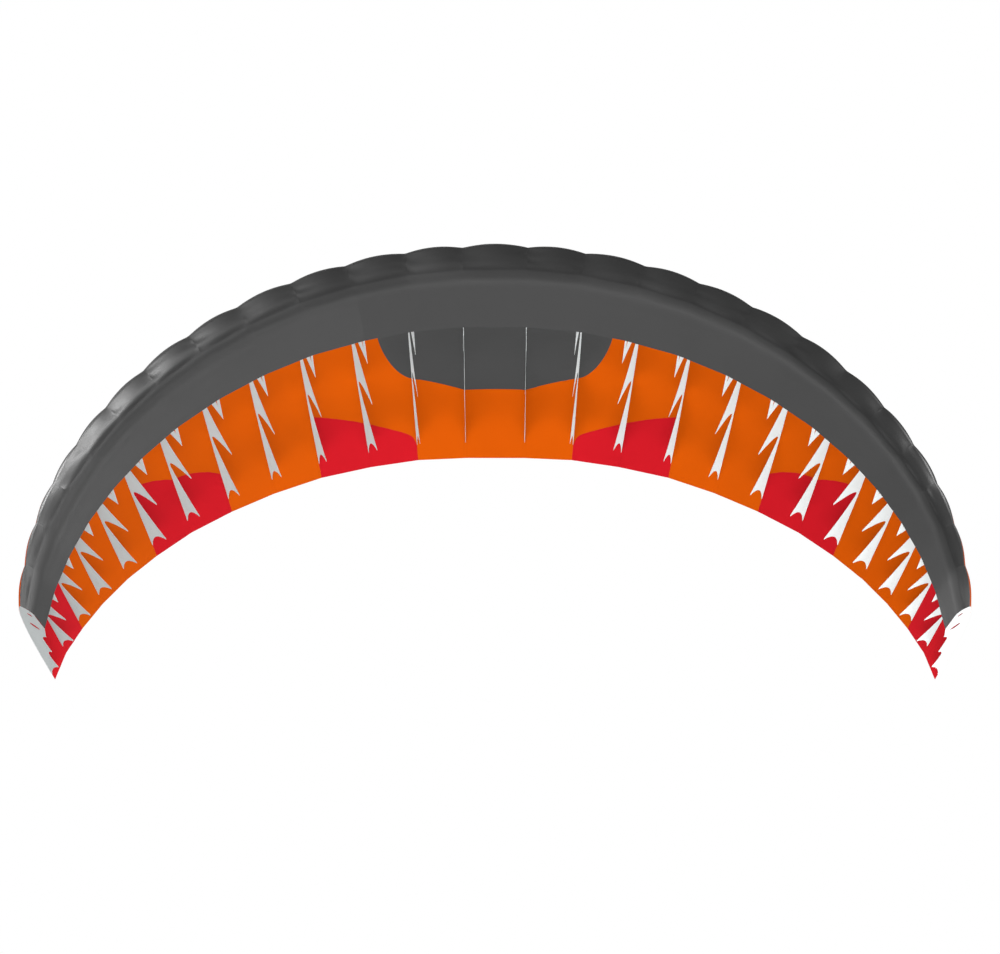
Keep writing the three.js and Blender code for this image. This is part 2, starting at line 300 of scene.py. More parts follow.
class StudioSettings(bpy.types.PropertyGroup):
    """Camera, lights and floor."""

    camera_place: FloatVectorProperty(
        name="Camera Place", description="Where the camera stands", subtype="TRANSLATION", unit="LENGTH",
        default=(0, -7.590, -5.808))
    camera_rise: FloatProperty(
        name="Camera Rise", description="How far the camera looks up from the horizon",
        default=math.radians(34.64), subtype="ANGLE", unit="ROTATION")
    lens: FloatProperty(
        name="Lens", description="Focal length", default=93.7, min=10, max=300, unit="CAMERA")
    shift: FloatProperty(
        name="Sideways Shift", description="Shift that places the wing's middle as framed", default=0.005)
    floor_height: FloatProperty(
        name="Floor Height", description="Height of the floor, well below the flying wing",
        default=-14, unit="LENGTH")
    fill: FloatProperty(
        name="Fill", description="Strength of the even light from all round", default=0.08, min=0, max=5)


StudioSettings.__annotations__.update({
    f"{name}_power": FloatProperty(
        name=f"{name} light".replace("_", " ").title(), description="Power of this soft panel of light",
        default=lamp.watts, unit="POWER")
    for name, lamp in LAMPS.items()
})


# Wing geometry


@dataclass
class Station:
    """A rib in its place. side is -1 on the left and 1 on the right."""

    side: int
    number: int
    row: RibRow
    x: float
    z: float
    roll: float

    @property
    def name(self):
        return f"{'L' if self.side < 0 else 'R'}{self.number:02d}"

    @property
    def is_tip(self):
        return self.number == RIBS_A_SIDE


def side_stations(side):
    """Ribs of one side, following the arch outwards."""
    x = z = last_roll = 0.0
    found = []
    for index, row in enumerate(RIB_ROWS):
        roll = math.radians(row.roll)
        slope = (last_roll + roll) / 2
        x += row.cell * math.cos(slope)
        z -= row.cell * math.sin(slope)
        last_roll = roll
        found.append(Station(side, index + 1, row, x, z, roll + math.radians(row.lean)))
    return found


LEFT, RIGHT = side_stations(-1), side_stations(1)
RIBS = LEFT[::-1] + RIGHT


def rib_direction(station, shares):
    """A direction in the rib's plane, along its chord and up from it, in the wing's frame."""
    along, up = np.moveaxis(np.asarray(shares, float), -1, 0)
    rise = up * math.cos(INCIDENCE) - along * math.sin(INCIDENCE)
    aft = along * math.cos(INCIDENCE) + up * math.sin(INCIDENCE)
    return np.stack([station.side * rise * math.sin(station.roll), aft, rise * math.cos(station.roll)], -1)


def wing_point(station, shares):
    """Points of a rib's plane, given as shares of its chord, in the wing's frame."""
    leading_edge = np.array([station.side * station.x, station.row.sweep, station.z])
    return leading_edge + station.row.chord * rib_direction(station, shares)


FRONT_TAB = wing_point(LEFT[0], TEETH[-1]["tip"])
ORIGIN = np.array([0.0, FRONT_TAB[1], FRONT_TAB[2]])


def rib_point(station, shares):
    """Points of a rib's plane in the part's frame, whose origin lies between the front tabs."""
    return wing_point(station, shares) - ORIGIN


def roll_curve(share):
    """The nose roll as a smooth curve through its rows; share runs from 0 at the leading edge to 1."""
    last = len(NOSE_ROLL) - 1
    place = np.clip(share, 0, 1) * last
    i = np.minimum(np.floor(place).astype(int), last - 1)
    t = (place - i)[..., None]
    p0, p1, p2, p3 = (NOSE_ROLL[np.clip(i + k, 0, last)] for k in (-1, 0, 1, 2))
    v1, v2 = (p2 - p0) / 2, (p3 - p1) / 2
    point = (2 * p1 - 2 * p2 + v1 + v2) * t ** 3 + (3 * (p2 - p1) - 2 * v1 - v2) * t ** 2 + v1 * t + p1
    return point * (1, -1)


def section(place):
    """A point of the section: -1 is the lower cloth's rear edge, 0 the leading and 1 the trailing edge."""
    place = np.asarray(place, float)
    along = np.clip(place, 0, 1) ** 2
    upper = np.stack([along, CAMBER * np.clip(place, 0, 1) * (1 - along) ** TAIL_TAPER], -1)
    return np.where((place < 0)[..., None], roll_curve(-place), upper)


def section_normal(place):
    """The section's outward direction at a place."""
    step = 0.001
    run = section(np.clip(place + step, -1, 1)) - section(np.clip(place - step, -1, 1))
    run /= np.linalg.norm(run, axis=-1, keepdims=True)
    return np.stack([-run[..., 1], run[..., 0]], -1)


def smooth(value, low, high):
    """0 below low, 1 above high and a smooth step between."""
    t = np.clip((value - low) / (high - low), 0, 1)
    return t * t * (3 - 2 * t)


def blend(first, last, share):
    """From first, where the share is 0, to last, where it is 1."""
    return first * (1 - share) + last * share


def bulge_share(place, ledge, cloth):
    """Rise of the cloth between two ribs: a round bump over the nose down to the ledge, little aft of it."""
    upper = cloth.nose_bulge * (1 - np.clip(place, 0, 1) ** 2)
    bump = cloth.nose_bulge * (1 - np.clip(-place / ledge, 0, 1) ** BULGE_FADE)
    lower = cloth.lower_bulge * smooth(-place, ledge, 1)
    return np.where(place >= 0, upper, bump + lower)


def valley_bow(across, places, ledge):
    """The bulge's form across a cell: a sharp valley at each rib in front, rounder towards the fold."""
    arch = np.clip(4 * across * (1 - across), 0, 1)[:, None]
    start, end = VALLEY_RANGE
    round_off = VALLEY_ROUND["front"] + VALLEY_ROUND["added"] * smooth(-places, start, end * ledge)
    return arch ** 2 * (1 + round_off) / (arch + round_off)


def crease_share(a, b, across, place, ledge):
    """Depth of the crease at the ledge: it fades on both sides and dies out at the tip rib."""
    off = place + ledge
    from_tip = np.ones_like(across)
    for rib, edge in ((a, across), (b, 1 - across)):
        if rib.is_tip:
            from_tip = np.clip(2 * edge, 0, 1) ** CREASE_TIP_FADE
    return from_tip[:, None] * np.exp(-(off / np.where(off > 0, CREASE_AHEAD, CREASE_BEHIND)) ** 2)


def seam_waves(across, along, width, place, seed):
    """Small waves drawn by the sewing, strongest a finger's width from the rib and fading to mid cell."""
    waves = 0
    for offset, edge in ((0, across * width), (7, (1 - across) * width)):
        rng = np.random.default_rng(seed + offset)
        phase, drift = rng.uniform(0, TURN, 2)
        swell = 1 - SWELL + SWELL * np.sin(along * TURN / SWELL_LENGTH + drift)
        fade = edge / WAVE_REACH * np.exp(1 - edge / WAVE_REACH)
        wander = WANDER * np.sin(along * TURN / WANDER_LENGTH + phase)
        waves = waves + fade * swell * np.sin(along * TURN / WAVE_LENGTH + phase + wander)
    kept_aft = 1 - WAVE_LOSS["aft"] * np.clip(place, 0, 1)
    kept_below = 1 - WAVE_LOSS["below"] * smooth(-place, *WAVE_LOSS_RANGE)
    return waves * kept_aft * kept_below


def cell_points(a, b, across, places, cloth):
    """Points of the cloth from rib a to rib b: each column has a share of the way and a row of places."""
    shares, normals = section(places), section_normal(places)
    t = across[:, None, None]
    start, end = rib_point(a, shares), rib_point(b, shares)
    outward = blend(rib_direction(a, normals), rib_direction(b, normals), t)
    outward /= np.linalg.norm(outward, axis=-1, keepdims=True)
    chordwise = rib_direction(a, (1, 0)) + rib_direction(b, (1, 0))
    chordwise /= np.linalg.norm(chordwise)
    reach = end - start
    span = np.linalg.norm(reach, axis=-1)
    width = np.linalg.norm(reach - (reach @ chordwise)[..., None] * chordwise, axis=-1)
    flat = blend(start, end, t)
    steps = np.linalg.norm(np.diff(flat, axis=1), axis=2)
    along = np.concatenate([np.zeros((len(across), 1)), np.cumsum(steps, axis=1)], 1)
    seed = 100 * (a.number * a.side + 20) + b.number
    ledge = blend(a.row.ledge, b.row.ledge, across)[:, None]
    rise = valley_bow(across, places, ledge) * bulge_share(places, ledge, cloth) * span
    rise -= cloth.crease * crease_share(a, b, across, places, ledge)
    rise += cloth.pucker * seam_waves(across[:, None], along, width, places, seed)
    rise += SEAT + cloth.thickness / 2
    lean = (flat[:, 0] - flat[0, 0]) @ chordwise
    # signed distance along the cloth ahead of the fold, which places the nose's painted shade; 1 where the
    # grid has no fold
    fold = np.ones_like(along)
    if places[0, 0] < 0:
        fold = along - np.array([[np.interp(-k[0], p, run)] for k, p, run in zip(ledge, places, along)])
    return SimpleNamespace(
        points=flat + outward * rise[..., None], across=across, width=width, along=along, span=span,
        lean=lean, share=shares[..., 0], fold=fold, places=places, heading=reach / span[..., None])


def ease_seam(before, after, station):
    """Rounds off the kink of the lower cloth where two cells meet at a rib."""
    kink = after.heading[0] - before.heading[-1]
    lower = smooth(-after.places[0], station.row.ledge - EASE_FADE, station.row.ledge + EASE_FADE)
    for grid, off in ((before, 1 - before.across), (after, after.across)):
        away = np.abs(off)[:, None] * grid.span
        lift = np.clip(EASE_REACH - away, 0, None) ** 2 / (4 * EASE_REACH)
        grid.points += kink * (lower * lift)[..., None]


# Cut pieces


def cell_columns(a, b, cloth, lap=LAP):
    """Shares across a cell, closer together beside the ribs. Cells lap at a rib by a hair or just meet there,
    and at the wing's tip the cloth stops a hair short."""
    shares = (1 - np.cos(np.linspace(0, math.pi, cloth.cell_columns + 1))) / 2
    lap_a, lap_b = (-LAP if rib.is_tip else lap for rib in (a, b))
    shares[0], shares[-1] = -lap_a, 1 + lap_b
    return shares


def joined(values):
    """Columns of neighbouring cells in one row, each shared column once."""
    return np.concatenate([v if i == 0 else v[1:] for i, v in enumerate(values)])


def cloth_object(node, grids, finish, slot, cloth, rear_hem=True, rib_seams=True):
    """A sheet from one grid for each cell, side by side, with its hems and its seams at ribs thickened."""
    points = joined(g.points for g in grids)
    columns, rows = points.shape[:2]
    base = np.cumsum([0] + [g.width.mean() for g in grids])
    side = joined(np.minimum(g.across[:, None], 1 - g.across[:, None]) * g.width for g in grids)
    if not rib_seams:
        side = np.ones_like(side)
    edge = np.minimum(1.0, joined(g.along for g in grids))
    if rear_hem:
        edge = np.minimum(edge, joined(g.along[:, -1:] - g.along for g in grids))
    cut_u = joined(start + g.across[:, None] * g.width for start, g in zip(base, grids))
    cut_v = joined(g.along + g.lean[:, None] for g in grids)
    panel_u = joined(np.broadcast_to(g.across[:, None], g.share.shape) for g in grids)
    panel_v = joined(g.share for g in grids)
    maps = {
        "Cut": np.stack([cut_u, cut_v], -1),
        "Edges": np.stack([side, edge], -1),
        "Panel": np.stack([panel_u, panel_v], -1),
        # the Fold map carries that distance for the nose's painted shade
        "Fold": np.stack([joined(g.fold for g in grids), panel_v], -1),
    }
    index = np.arange(columns * rows).reshape(columns, rows)
    quads = np.stack([index[:-1, :-1], index[1:, :-1], index[1:, 1:], index[:-1, 1:]], -1).reshape(-1, 4)
    maps = {name: values.reshape(-1, 2) for name, values in maps.items()}
    weights = 1 - smooth(np.minimum(side, edge), *(share * cloth.hem_width for share in HEM_FADE))
    piece = sheet_object(node, points.reshape(-1, 3), quads, maps, weights.reshape(-1), finish, cloth)
    declare(piece, node, slot, *cut_size(grids))


def add_object(name, data):
    """An object in the scene."""
    made = bpy.data.objects.new(name, data)
    bpy.context.scene.collection.objects.link(made)
    return made


def sheet_object(node, points, faces, maps, hem_weights, finish, cloth, fullness=1.0):
    """A mesh object with its maps and crisp cut edges, thickened by a modifier that is fuller at hems."""
    mesh = bpy.data.meshes.new(f"{node}_cloth")
    mesh.from_pydata(points.tolist(), [], [list(map(int, f)) for f in faces])
    loops = np.empty(len(mesh.loops), np.int32)
    mesh.loops.foreach_get("vertex_index", loops)
    for map_name, values in maps.items():
        layer = mesh.uv_layers.new(name=map_name)
        layer.data.foreach_set("uv", values[loops].astype(np.float32).ravel())
    mesh.polygons.foreach_set("use_smooth", np.ones(len(mesh.polygons), bool))
    mesh.materials.append(cloth_finish(finish))
    mesh.validate()
    sides = np.empty(len(mesh.loops), np.int32)
    mesh.loops.foreach_get("edge_index", sides)
    mesh.edges.foreach_set("use_edge_sharp", np.bincount(sides, minlength=len(mesh.edges)) == 1)
    piece = add_object(f"{node}_cloth", mesh)
    group = piece.vertex_groups.new(name="Hem")
    levels = np.round(hem_weights, 2)
    for level in np.unique(levels[levels > 0]):
        group.add(np.flatnonzero(levels == level).tolist(), float(level), "REPLACE")
    solid = piece.modifiers.new("Cloth Thickness", "SOLIDIFY")
    solid.thickness = cloth.hem_thickness * fullness
    solid.offset = 0
    solid.vertex_group = "Hem"
    solid.thickness_vertex_group = min(1, cloth.thickness / solid.thickness)
    return piece


def declare(piece, node, slot, flat, area):
    """Ties a piece of cloth to the solid that it stands for."""
    if node not in frame["nodes"]:
        raise RuntimeError(f"the packed model has no node {node}")
    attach(piece, BODY)
    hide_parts(node)


def cut_size(grids):
    """The flat size and area of a sheet, measured on its cells laid out side by side."""
    width = FLAT_ALLOWANCE * sum(float(g.width.max()) for g in grids)
    length = max(float(np.ptp(g.along + g.lean[:, None])) for g in grids)
    area = 0.0
    for g in grids:
        down, side = np.diff(g.points, axis=1)[:-1], np.diff(g.points, axis=0)[:, :-1]
        area += float(np.linalg.norm(np.cross(down, side), axis=-1).sum())
    return (width, length), area


def row_count(length, cloth):
    """Points along a strip of cloth."""
    return max(4, math.ceil(length / cloth.row_length)) + 1


def strip_grid(a, b, across, front, rear, rows, cloth):
    """Grid of upper cloth in one cell, from its front edge to its rear edge on the chord."""
    steps = np.linspace(0, 1, rows)
    along = blend(np.asarray(front)[..., None], np.asarray(rear)[..., None], steps)
    return cell_points(a, b, across, np.sqrt(along), cloth)


def nose_grid(a, b, cloth):
    """Grid of the nose cloth in one cell, from the lower cloth's rear edge round to the upper seam."""
    across = cell_columns(a, b, cloth, lap=0)
    ledge = blend(a.row.ledge, b.row.ledge, across)[:, None]
    behind, ahead = -ledge - ROWS_BEHIND, -ledge + ROWS_AHEAD
    seam = blend(math.sqrt(a.row.seam), math.sqrt(b.row.seam), across)[:, None]
    bounds = (-1.0, behind, ahead, 0.0, seam)
    stretches = []
    for start, end, rows in zip(bounds, bounds[1:], NOSE_ROWS):
        stretches.append(blend(start, end, np.linspace(0, 1, rows, endpoint=False)))
    places = np.concatenate([*stretches, seam], 1)
    return cell_points(a, b, across, places, cloth)


def insert_bow(a, b, across):
    """Change of a red insert's front edge across a cell: a bow and a rounded corner."""
    rise, drop, at_inner = INSERT_BOWS[min(a.number, b.number)]
    t = np.clip(across if a.number < b.number else 1 - across, 0, 1)
    corner = (1 - t if at_inner else t) ** INSERT_CORNER_POWER
    return drop * corner - rise * 4 * t * (1 - t)


# Node groups and materials


def node_group(name, inputs, outputs):
    """An empty shader group with named sockets, and its input and output nodes."""
    group = bpy.data.node_groups.new(name, "ShaderNodeTree")
    for label, kind, default in inputs:
        socket = group.interface.new_socket(label, in_out="INPUT", socket_type=f"NodeSocket{kind}")
        if default is not None:
            socket.default_value = default
    for label in outputs:
        group.interface.new_socket(label, in_out="OUTPUT", socket_type="NodeSocketFloat")
    return group, group.nodes.new("NodeGroupInput"), group.nodes.new("NodeGroupOutput")


def put(tree, value, socket):
    """Links a socket, or sets a plain value."""
    if isinstance(value, bpy.types.NodeSocket):
        tree.links.new(value, socket)
    else:
        socket.default_value = value


def add_node(tree, kind, inputs, **settings):
    """A shader node with its settings and its inputs."""
    node = tree.nodes.new(f"ShaderNode{kind}")
    for name, value in settings.items():
        setattr(node, name, value)
    for label, value in inputs.items():
        put(tree, value, node.inputs[label])
    return node


def math_node(tree, operation, *values):
    """One sum or comparison."""
    return add_node(tree, "Math", dict(enumerate(values)), operation=operation).outputs[0]


def add_up(tree, total, *shares):
    """A total and what is added to it: masks, each with its strength."""
    for mask, strength in shares:
        total = math_node(tree, "MULTIPLY_ADD", mask, strength, total)
    return total


def soft_step(tree, value, low, high):
    """1 below low and 0 above high."""
    inputs = {"Value": value, "From Min": low, "From Max": high, "To Min": 1.0, "To Max": 0.0}
    return add_node(tree, "MapRange", inputs, interpolation_type="SMOOTHSTEP").outputs["Result"]


def mix_colour(tree, factor, first, second, mode="MIX"):
    """Two colours mixed or multiplied."""
    inputs = {"Factor": factor, "A": first, "B": second}
    return add_node(tree, "Mix", inputs, data_type="RGBA", blend_type=mode).outputs["Result"]


def noise(tree, vector, scale, detail, kind="FBM"):
    """A noise texture's value."""
    inputs = {"Vector": vector, "Scale": scale, "Detail": detail}
    return add_node(tree, "TexNoise", inputs, noise_type=kind).outputs["Fac"]


def split(tree, vector):
    """The first two parts of a vector."""
    parts = add_node(tree, "SeparateXYZ", {0: vector}).outputs
    return parts["X"], parts["Y"]


def uv(tree, name):
    """One of the sheet's maps."""
    return add_node(tree, "UVMap", {}, uv_map=name).outputs["UV"]


@cache
def ripstop_group():
    """Woven squares of thicker thread on a fine plain weave."""
    inputs = [("Cut", "Vector", None), ("Square", "Float", 0.006), ("Thread", "Float", 0.0006)]
    group, given, out = node_group("Ripstop Weave", inputs, ["Lines", "Height"])
    half = math_node(group, "MULTIPLY", given.outputs["Square"], 0.5)
    masks = []
    for part in split(group, given.outputs["Cut"]):
        off = math_node(group, "PINGPONG", part, half)
        masks.append(soft_step(group, off, 0.0, given.outputs["Thread"]))
    lines = math_node(group, "MAXIMUM", *masks)
    weave = math_node(group, "MULTIPLY", noise(group, given.outputs["Cut"], 900, 1), 0.35)
    group.links.new(lines, out.inputs["Lines"])
    group.links.new(math_node(group, "ADD", lines, weave), out.inputs["Height"])
    return group


@cache
def stitch_group():
    """Two rows of stitches beside a seam or along a hem."""
    inputs = [
        ("Across", "Float", 1.0), ("Along", "Float", 0.0), ("First Row", "Float", 0.003),
        ("Second Row", "Float", 0.008), ("Stitch", "Float", 0.0035), ("Thread", "Float", 0.0005),
    ]
    group, given, out = node_group("Seam Stitches", inputs, ["Thread Mask"])
    thread, stitch = given.outputs["Thread"], given.outputs["Stitch"]
    half = math_node(group, "MULTIPLY", thread, 0.5)
    rows = []
    for label in ("First Row", "Second Row"):
        off = math_node(group, "SUBTRACT", given.outputs["Across"], given.outputs[label])
        rows.append(soft_step(group, math_node(group, "ABSOLUTE", off), half, thread))
    beat = math_node(group, "PINGPONG", given.outputs["Along"], stitch)
    gap = math_node(group, "MULTIPLY", stitch, 0.25)
    between = soft_step(group, beat, gap, math_node(group, "MULTIPLY", gap, 1.6))
    sewn = math_node(group, "SUBTRACT", 1.0, between)
    mask = math_node(group, "MULTIPLY", math_node(group, "MAXIMUM", *rows), sewn)
    group.links.new(mask, out.inputs["Thread Mask"])
    return group


@cache
def tone_group():
    """Slow changes of tone and gloss over a cloth, and faint creases from packing."""
    group, given, out = node_group("Cloth Tone", [("Place", "Vector", None)], ["Tone", "Crease"])
    place = given.outputs["Place"]
    group.links.new(noise(group, place, 5, 3), out.inputs["Tone"])
    group.links.new(noise(group, place, 9, 2, "RIDGED_MULTIFRACTAL"), out.inputs["Crease"])
    return group


def group_node(tree, make, **links):
    """A node of a shared group."""
    return add_node(tree, "Group", {label.title(): value for label, value in links.items()}, node_tree=make())


def cloth_material(name, finish, colour, pattern=None):
    """Coated ripstop cloth: woven squares, stitched seams and hems, slow tone and faint packing creases."""
    material = bpy.data.materials.new(name)
    material.use_nodes = True
    tree = material.node_tree
    shader = tree.nodes["Principled BSDF"]
    cut = uv(tree, "Cut")
    side, edge = split(tree, uv(tree, "Edges"))
    cut_u, cut_v = split(tree, cut)
    weave = group_node(tree, ripstop_group, cut=cut)
    seams = group_node(tree, stitch_group, across=side, along=cut_v)
    hems = group_node(tree, stitch_group, across=edge, along=cut_u)
    tones = group_node(tree, tone_group, place=add_node(tree, "TexCoord", {}).outputs["Object"])
    tone = tones.outputs["Tone"]
    thread = math_node(tree, "MAXIMUM", seams.outputs["Thread Mask"], hems.outputs["Thread Mask"])

    colours = bpy.context.scene.wing_colours
    base, grey_mask = pattern(tree, colours) if pattern else (tuple(getattr(colours, colour)), None)
    level = add_up(
        tree, LEVEL["lowest"], (tone, LEVEL["tone"]), (weave.outputs["Lines"], LEVEL["lines"]),
        (thread, LEVEL["thread"]))
    shade = add_node(tree, "CombineColor", dict.fromkeys(("Red", "Green", "Blue"), level)).outputs[0]
    seen = mix_colour(tree, 1.0, base, shade, "MULTIPLY")
    bounce = add_node(tree, "LightPath", {}).outputs["Is Diffuse Ray"]
    dimmed = mix_colour(tree, BOUNCE_DIM, seen, BLACK)
    tree.links.new(mix_colour(tree, bounce, seen, dimmed), shader.inputs["Base Color"])

    matt, gleam = finish.roughness, finish.gleam
    if grey_mask is not None:
        matt = add_up(tree, matt, (grey_mask, GREY_FINISH.roughness - matt))
        gleam = add_up(tree, gleam, (grey_mask, GREY_FINISH.gleam - gleam))
    elif finish.slant:
        slant = add_node(tree, "LayerWeight", {"Blend": 0.5}).outputs["Facing"]
        matt = add_up(tree, matt + finish.slant, (soft_step(tree, slant, *SLANT_RANGE), -finish.slant))
    matt = add_up(tree, matt, (math_node(tree, "SUBTRACT", tone, 0.5), UNEVEN_GLOSS))
    tree.links.new(matt, shader.inputs["Roughness"])
    put(tree, gleam, shader.inputs["Specular IOR Level"])

    height = add_up(
        tree, 0.0, (weave.outputs["Height"], RELIEF["weave"]), (thread, RELIEF["thread"]),
        (tones.outputs["Crease"], RELIEF["crease"]))
    bump = add_node(tree, "Bump", {"Height": height, "Strength": BUMP_STRENGTH, "Distance": 1.0})
    tree.links.new(bump.outputs["Normal"], shader.inputs["Normal"])
    return material


def corner_pattern(tree, colours, from_inner):
    """Orange with the grey patch's rounded corner in the front of the cell, on the side of the inner rib."""
    across, along = split(tree, uv(tree, "Panel"))
    if not from_inner:
        across = math_node(tree, "SUBTRACT", 1.0, across)
    depth = add_up(tree, PATCH_CORNER["depth"], (across, -PATCH_CORNER["drop"]))
    behind = math_node(tree, "MAXIMUM", math_node(tree, "SUBTRACT", along, PATCH_CORNER["start"]), 0.0)
    rise = math_node(tree, "POWER", math_node(tree, "DIVIDE", behind, depth), 2.0)
    reach = math_node(tree, "POWER", math_node(tree, "DIVIDE", across, PATCH_CORNER["across"]), 2.0)
    mask = soft_step(tree, math_node(tree, "ADD", rise, reach), 0.99, 1.01)
    return mix_colour(tree, mask, tuple(colours.orange), tuple(colours.grey)), mask


def nose_fold_painted_shade(tree, colours):
    """Grey, with painted shade that darkens it in the fold between the nose and the lower cloth."""
    ahead, _ = split(tree, uv(tree, "Fold"))
    behind = math_node(tree, "MULTIPLY", ahead, -1.0)
    reaches = soft_step(tree, ahead, 0.0, FOLD_AHEAD), soft_step(tree, behind, 0.0, FOLD_BEHIND)
    # painted shade: darkest at the fold, fading ahead of it and behind it
    shade = math_node(tree, "MULTIPLY", math_node(tree, "MINIMUM", *reaches), FOLD_PAINTED_SHADE)
    return mix_colour(tree, shade, tuple(colours.grey), BLACK), None


def tip_pattern(tree, colours):
    """Red with an orange strip behind the nose."""
    _, along = split(tree, uv(tree, "Panel"))
    mask = soft_step(tree, along, TIP_RIM - 0.001, TIP_RIM + 0.001)
    return mix_colour(tree, mask, tuple(colours.red), tuple(colours.orange)), None


CLOTHS = {
    # name: finish, colour, and what draws the colours, or the nose's painted shade, on it
    "grey": (GREY_FINISH, "grey"),
    "nose": (GREY_FINISH, "grey", nose_fold_painted_shade),
    "orange": (BRIGHT_FINISH, "orange"),
    "red": (BRIGHT_FINISH, "red"),
    "white": (WHITE_FINISH, "white"),
    "corner_L": (BRIGHT_FINISH, "orange", partial(corner_pattern, from_inner=False)),
    "corner_R": (BRIGHT_FINISH, "orange", partial(corner_pattern, from_inner=True)),
    "tip": (TIP_FINISH, "red", tip_pattern),
}


@cache
def cloth_finish(name):
    """The named cloth's material, made once."""
    return cloth_material(f"{name}_ripstop", *CLOTHS[name])


# Ribs


def quadratic(start, control, end, steps=18):
    """Points of a quadratic curve after its start."""
    t = np.linspace(0, 1, steps + 1)[1:, None]
    return (1 - t) ** 2 * start + 2 * t * (1 - t) * control + t ** 2 * end


def rib_outline(chord, teeth, trim):
    """The rib's edge in its own plane, in metres: upper edge aft, then the teeth forward and the nose, which
    is trimmed back increasingly from the leading edge to the fold."""
    top = section(np.linspace(0, math.sqrt(RIB_END["along"]), 90)) * chord
    edge = [top[-1] - (0, RIB_END["depth"] * chord)]
    for tooth in teeth:
        points = {name: np.array(place) * chord for name, place in tooth.items()}
        heel, toe = points["tip"] + (TAB_WIDTH / 2, 0), points["tip"] - (TAB_WIDTH / 2, 0)
        edge += [*quadratic(edge[-1], points["hook"], heel), toe]
        if "crown" in points:
            edge += [*quadratic(toe, points["slant"], points["crown"])]
    places = -np.linspace(1, 0, 36)[:-1]
    lower = smooth(-places, 0, LEDGE)[:, None]
    nose = section(places) * chord - section_normal(places) * trim * lower
    return top, np.array(edge), nose


def slit_points(slit, chord):
    """A leaning oval opening in the tip rib."""
    turn = np.linspace(0, TURN, 28, endpoint=False)
    lean = math.radians(slit["lean"])
    x, y = slit["half_length"] * np.cos(turn), slit["half_width"] * np.sin(turn)
    spun = np.stack([x * math.cos(lean) - y * math.sin(lean), x * math.sin(lean) + y * math.cos(lean)], -1)
    return (spun + (slit["along"], slit["height"])) * chord


def vent_points(chord):
    """The triangular opening in a rib."""
    corners = np.array(VENT) * chord
    steps = np.linspace(0, 1, 8, endpoint=False)[:, None]
    return np.concatenate([a + (b - a) * steps for a, b in zip(corners, np.roll(corners, -1, axis=0))])


def edge_distance(points, *loops):
    """Distance of each point from the nearest of some closed lines."""
    best = np.full(len(points), np.inf)
    for loop in loops:
        for a, b in zip(loop, np.roll(loop, -1, axis=0)):
            run = b - a
            t = np.clip(((points - a) @ run) / max(run @ run, 1e-12), 0, 1)
            best = np.minimum(best, np.linalg.norm(points - a - t[:, None] * run, axis=1))
    return best


def within(points, loop):
    """Which points lie inside a closed line, by counting crossings."""
    inside = np.zeros(len(points), bool)
    for a, b in zip(loop, np.roll(loop, -1, axis=0)):
        spans = (a[1] > points[:, 1]) != (b[1] > points[:, 1])
        rise = b[1] - a[1] if b[1] != a[1] else 1e-12
        inside ^= spans & (points[:, 0] < (b[0] - a[0]) * (points[:, 1] - a[1]) / rise + a[0])
    return inside


def fill_outline(outline, holes, step):
    """Flat points and triangles that fill an outline around its holes."""
    loops = (outline, *holes)
    low, high = outline.min(0), outline.max(0)
    grid = np.meshgrid(*(np.arange(low[k], high[k], step) for k in (0, 1)), indexing="ij")
    inner = np.stack(grid, -1).reshape(-1, 2)
    points, edges = [], []
    for loop in loops:
        first = len(points)
        points += list(loop)
        edges += [(first + i, first + (i + 1) % len(loop)) for i in range(len(loop))]
    points += list(inner[edge_distance(inner, *loops) > step * RIB_CLEAR])
    made = delaunay_2d_cdt([Vector(p) for p in points], edges, [], 0, 1e-7)
    flat, faces = np.array([tuple(p) for p in made[0]]), made[2]
    middles = np.array([flat[list(f)].mean(0) for f in faces])
    kept = within(middles, outline)
    for hole in holes:
        kept &= ~within(middles, hole)
    faces = [f for f, keep in zip(faces, kept) if keep]
    used = sorted({i for f in faces for i in f})
    renumber = {old: new for new, old in enumerate(used)}
    return flat[used], [[renumber[i] for i in f] for f in faces]


def rib_object(station, cloth):
    """One rib, cut from flat cloth: hemmed along its teeth and openings, with a faint flutter below."""
    chord = station.row.chord
    if station.is_tip:
        top, lower, nose = rib_outline(chord, TIP_TEETH, 0)
        holes = [slit_points(slit, chord) for slit in TIP_SLITS]
    else:
        top, lower, nose = rib_outline(chord, TEETH, RIB_TRIM)
        holes = [vent_points(chord)]
    outline = np.concatenate([top, lower, nose[:-1]])
    flat, faces = fill_outline(outline, holes, cloth.row_length * RIB_STEP)
    hemmed = edge_distance(flat, np.concatenate([top[-1:], lower, nose[:1]]), *holes)
    sewn = edge_distance(flat, np.concatenate([top, top[::-1]]))
    below = np.clip(CAMBER * 0.5 * chord - flat[:, 1], 0, None) / chord
    phase = np.random.default_rng(station.number * 10 + station.side).uniform(0, TURN)
    flutter = FLUTTER["height"] * chord * below * np.sin(flat[:, 0] / chord * FLUTTER["waves"] + phase)
    across = np.array([math.cos(station.roll), 0, -station.side * math.sin(station.roll)])
    points = rib_point(station, flat / chord) + flutter[:, None] * across
    maps = {"Cut": flat, "Edges": np.stack([sewn, hemmed], -1)}
    weights = 1 - smooth(np.minimum(hemmed, sewn), *(share * cloth.hem_width for share in RIB_HEM_FADE))
    node = f"rib_{station.name}"
    piece = sheet_object(node, points, faces, maps, weights, "white", cloth, RIB_HEM)
    length, height = (float(v) for v in outline.max(0) - outline.min(0))
    one, two = (flat[[f[k] for f in faces]] - flat[[f[0] for f in faces]] for k in (1, 2))
    area = float(np.abs(one[:, 0] * two[:, 1] - one[:, 1] * two[:, 0]).sum() / 2)
    declare(piece, node, "white_cloth", (height, length), area)


